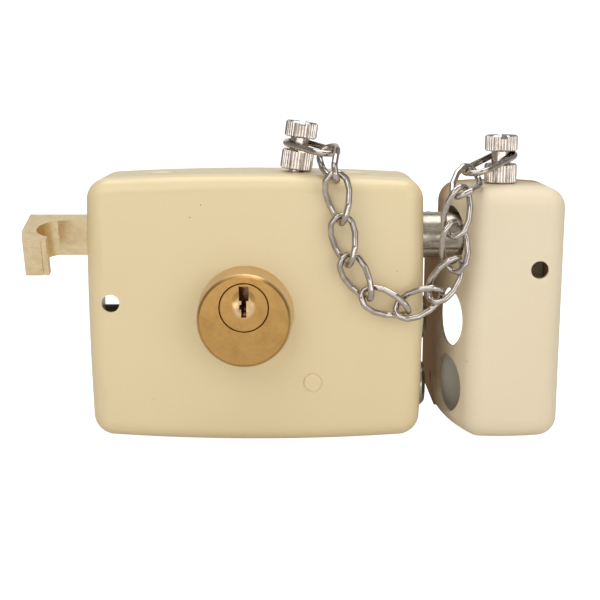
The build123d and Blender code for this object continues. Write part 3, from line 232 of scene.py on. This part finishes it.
def brass(name, colors, centre=None):
    """Lacquered brass with soft tarnish and fine scratches.

    A turned piece has lines round its centre, painted highlights on its rim and dimple, and
    painted shade in the groove round the plug. Any other has lines along X.
    """
    s = Shader(name)
    base, dark = colors
    tarnish = s.ramp(s.noise(scale=260.0, detail=6.0, rough=0.65), low=0.40, high=0.72)
    blots = s.ramp(s.noise(scale=1400.0, rough=0.6), low=0.60, high=0.74)
    color = s.tint(base, tarnish, 0.42, dark)
    color = s.tint(color, blots, 0.45, dark)
    scratches = s.noise(rough=0.6, vector=s.stretched((2600.0, 2600.0, 160.0), (0.4, 0.9, 0.3)))
    if centre is None:
        lines = s.noise(rough=0.6, vector=s.stretched((150.0, 5200.0, 5200.0)))
    else:
        radius = s.radius(*centre)
        ring = s.node("ShaderNodeCombineXYZ")
        s.link(s.times(radius, 6200.0), ring.inputs["X"])
        lines = s.noise(detail=2.0, rough=0.6, vector=ring.outputs["Vector"])
        # painted highlight: a pale band along the rim of the cylinder head
        rim = s.ramp(s.radius(*HEAD_CENTRE), *HEAD_RIM)
        color = s.tint(color, rim, 0.80, RIM_HIGHLIGHT_BRASS)
        # painted highlight: paler brass in the dimple round the keyway
        dimple = s.ramp(radius, *DIMPLE_EDGE, out_low=1.0, out_high=0.0)
        color = s.tint(color, dimple, 0.55, DIMPLE_HIGHLIGHT_BRASS)
        # painted shade: a near-black ring in the groove between plug and shell
        off_groove = s.math("ABSOLUTE", s.math("SUBTRACT", radius, GROOVE_RADIUS))
        groove = s.ramp(off_groove, *GROOVE_EDGE, out_low=1.0, out_high=0.0)
        color = s.tint(color, groove, 0.9, GROOVE_SHADE)
    roughness = s.ramp(lines, low=0.3, high=0.7, out_low=0.24, out_high=0.40)
    cut = s.bump(lines, distance=0.000012, strength=0.7)
    s.set(Metallic=1.0)
    return s.finish(color, roughness, s.bump(scratches, distance=0.00001, strength=0.5, under=cut))


def plated(name, colors, gloss, streak):
    """Plated or bare steel: dull patches, draw lines and small pits.

    gloss is the lowest and highest roughness, and streak how fine the lines are along X, Y, Z.
    """
    s = Shader(name)
    base, dark = colors
    worn = s.ramp(s.noise(scale=340.0, detail=5.0, rough=0.65), low=0.40, high=0.70)
    color = s.tint(base, worn, 0.45, dark)
    lines = s.noise(rough=0.65, vector=s.stretched(streak))
    dull = s.math("ADD", lines, s.times(worn, 0.3))
    roughness = s.ramp(dull, low=0.35, high=0.95, out_low=gloss[0], out_high=gloss[1])
    pits = s.ramp(s.cells(1900.0)["Distance"], low=0.0, high=0.16)
    drawn = s.bump(lines, distance=0.000012, strength=0.6)
    s.set(Metallic=1.0)
    return s.finish(color, roughness, s.bump(pits, distance=0.00001, strength=0.45, under=drawn))


def zinc_sheet(name, colors):
    """Zinc-plated sheet: spangle, rolling lines, dull oxide patches."""
    s = Shader(name)
    base, dark = colors
    spangle = s.node("ShaderNodeSeparateColor")
    s.link(s.cells(210.0)["Color"], spangle.inputs["Color"])
    oxide = s.ramp(s.noise(scale=120.0, detail=6.0, rough=0.7), low=0.45, high=0.75)
    color = s.tint(base, spangle.outputs["Red"], 0.35, dark)
    color = s.tint(color, oxide, 0.4, dark)
    rolled = s.noise(detail=2.0, rough=0.6, vector=s.stretched((300.0, 300.0, 3800.0)))
    dull = s.math("ADD", rolled, spangle.outputs["Green"])
    roughness = s.ramp(dull, low=0.3, high=1.7, out_low=0.26, out_high=0.5)
    s.set(Metallic=1.0)
    return s.finish(color, roughness, s.bump(rolled, distance=0.00002, strength=0.5))


# one finish for each material slot of the record
finishes = {
    "cream_paint": enamel("cream_paint", CREAM),
    "brass": brass("brass", BRASS, PLUG_CENTRE),
    "handle_brass": brass("handle_brass", HANDLE_BRASS),
    "bright_nickel": plated("bright_nickel", BRIGHT_NICKEL, gloss=(0.10, 0.24),
                            streak=(900.0, 900.0, 900.0)),
    "bolt_nickel": plated("bolt_nickel", BOLT_NICKEL, gloss=(0.22, 0.38),
                          streak=(120.0, 4200.0, 4200.0)),
    "steel": plated("steel", STEEL, gloss=(0.26, 0.48), streak=(2600.0, 2600.0, 300.0)),
    "spring_steel": plated("spring_steel", SPRING_STEEL, gloss=(0.22, 0.42),
                           streak=(1800.0, 1800.0, 1800.0)),
    "zinc_steel": zinc_sheet("zinc_steel", ZINC),
}
for part in frame["record"]["subparts"]:
    mesh = nodes[part["node"]].data
    mesh.materials.clear()
    mesh.materials.append(finishes[part["material_slot"]])

# the keeper's paint is paler than the case's and darkens to brown towards its back as painted
# shade, and its back plate is primed
nodes["keeper_box"].data.materials[0] = enamel("keeper_paint", KEEPER_CREAM, shaded_back=True)
nodes["keeper_plate"].data.materials[0] = enamel("plate_primer", PRIMER)

# ------------------------------------------------------------------ camera
CAMERA_DISTANCE = 0.380
CAMERA_PITCH = math.radians(11.3)
FOCAL_PIXELS = 1128.6
PICTURE_PIXELS = 600.0
SENSOR_WIDTH = 36.0
NEAREST_SEEN = 0.01
TARGET = (0.0183, -0.031, 0.0)

camera_data = bpy.data.cameras.new("camera")
camera_data.sensor_width = SENSOR_WIDTH
camera_data.lens = SENSOR_WIDTH * FOCAL_PIXELS / PICTURE_PIXELS
camera_data.clip_start = NEAREST_SEEN
camera = bpy.data.objects.new("camera", camera_data)
camera.location = (TARGET[0], TARGET[1] - CAMERA_DISTANCE * math.cos(CAMERA_PITCH),
                   TARGET[2] + CAMERA_DISTANCE * math.sin(CAMERA_PITCH))
camera.rotation_euler = (math.pi / 2 - CAMERA_PITCH, 0, 0)
scene = bpy.context.scene
scene.collection.objects.link(camera)
scene.camera = camera
scene.view_settings.view_transform = "Standard"

# ------------------------------------------------------------------ light
MIDDLE = (0.02, -0.015, 0.0)
LOWER_FRONT = (0.02, -0.015, -0.03)
# name, place, what it points at, width and height, watts
LIGHTS = (
    ("key", (-0.35, -0.75, 0.75), MIDDLE, (0.8, 0.8), 3.5),
    ("fill", (0.65, -0.75, 0.25), MIDDLE, (0.6, 0.9), 2.15),
    ("top", (0.05, 0.05, 0.9), MIDDLE, (0.9, 0.6), 5.2),
    ("back", (0.0, 0.9, 0.5), MIDDLE, (1.2, 0.6), 1.0),
    ("low", (0.0, -0.55, 0.02), LOWER_FRONT, (1.0, 0.12), 0.7),
)
WHITE = (1.0, 1.0, 1.0, 1.0)
ROOM_LIGHT = 0.16


def soft_light(name, place, aim, size, power):
    """A rectangular studio light that points at aim."""
    data = bpy.data.lights.new(name, "AREA")
    data.shape = "RECTANGLE"
    data.size = size[0]
    data.size_y = size[1]
    data.energy = power
    light = bpy.data.objects.new(name, data)
    light.location = place
    toward = [goal - start for goal, start in zip(aim, place)]
    flat = math.hypot(toward[0], toward[1])
    light.rotation_euler = (math.atan2(flat, -toward[2]), 0, math.atan2(-toward[0], toward[1]))
    scene.collection.objects.link(light)


for light_row in LIGHTS:
    soft_light(*light_row)

world = bpy.data.worlds.new("studio")
world.use_nodes = True
world.node_tree.nodes["Background"].inputs["Color"].default_value = WHITE
world.node_tree.nodes["Background"].inputs["Strength"].default_value = ROOM_LIGHT
scene.world = world

# ------------------------------------------------------------------ floor
FLOOR_GREY = (0.60, 0.60, 0.60, 1.0)
FLOOR_ROUGHNESS = 0.9
FLOOR_GLOW = 0.12
PAPER_GLOW = 0.80
FLOOR_SIDES = 48
FLOOR_RADIUS = 1.6
BEND_RADIUS = 0.6
BEND_STEPS = 12
WALL_TOP = 2.6
FLOOR_GAP = 0.0002


def floor_paper():
    """Matt grey that the camera sees as white paper, so it is pale and reflects little."""
    material = bpy.data.materials.new("floor_white")
    material.use_nodes = True
    tree = material.node_tree
    surface = tree.nodes["Principled BSDF"]
    surface.inputs["Base Color"].default_value = FLOOR_GREY
    surface.inputs["Roughness"].default_value = FLOOR_ROUGHNESS
    surface.inputs["Emission Color"].default_value = WHITE
    surface.inputs["Emission Strength"].default_value = FLOOR_GLOW
    paper = tree.nodes.new("ShaderNodeEmission")
    paper.inputs["Strength"].default_value = PAPER_GLOW
    lit_paper = tree.nodes.new("ShaderNodeAddShader")
    seen = tree.nodes.new("ShaderNodeMixShader")
    ray = tree.nodes.new("ShaderNodeLightPath")
    tree.links.new(surface.outputs["BSDF"], lit_paper.inputs[0])
    tree.links.new(paper.outputs["Emission"], lit_paper.inputs[1])
    tree.links.new(ray.outputs["Is Camera Ray"], seen.inputs["Fac"])
    tree.links.new(surface.outputs["BSDF"], seen.inputs[1])
    tree.links.new(lit_paper.outputs["Shader"], seen.inputs[2])
    tree.links.new(seen.outputs["Shader"], tree.nodes["Material Output"].inputs["Surface"])
    return material


def cyclorama(base):
    """A round floor that runs up into a wall, so every view has it behind the part."""
    profile = [(FLOOR_RADIUS, 0.0)]
    for step in range(1, BEND_STEPS + 1):
        angle = math.pi / 2 * step / BEND_STEPS
        profile.append((FLOOR_RADIUS + BEND_RADIUS * math.sin(angle),
                        BEND_RADIUS * (1 - math.cos(angle))))
    profile.append((FLOOR_RADIUS + BEND_RADIUS, WALL_TOP))
    points = []
    faces = []
    for radius, height in profile:
        for side in range(FLOOR_SIDES):
            turn = 2 * math.pi * side / FLOOR_SIDES
            points.append((radius * math.cos(turn), radius * math.sin(turn), base + height))
    points.append((0.0, 0.0, base))
    hub = len(points) - 1
    for side in range(FLOOR_SIDES):
        following = (side + 1) % FLOOR_SIDES
        faces.append((hub, side, following))
        for level in range(len(profile) - 1):
            low = level * FLOOR_SIDES
            high = low + FLOOR_SIDES
            faces.append((low + side, high + side, high + following, low + following))
    floor_mesh = bpy.data.meshes.new("studio_floor")
    floor_mesh.from_pydata(points, [], faces)
    for face in floor_mesh.polygons:
        face.use_smooth = True
    floor_mesh.materials.append(floor_paper())
    floor = bpy.data.objects.new("studio_floor", floor_mesh)
    scene.collection.objects.link(floor)


cyclorama(cad_box[0][2] - FLOOR_GAP)
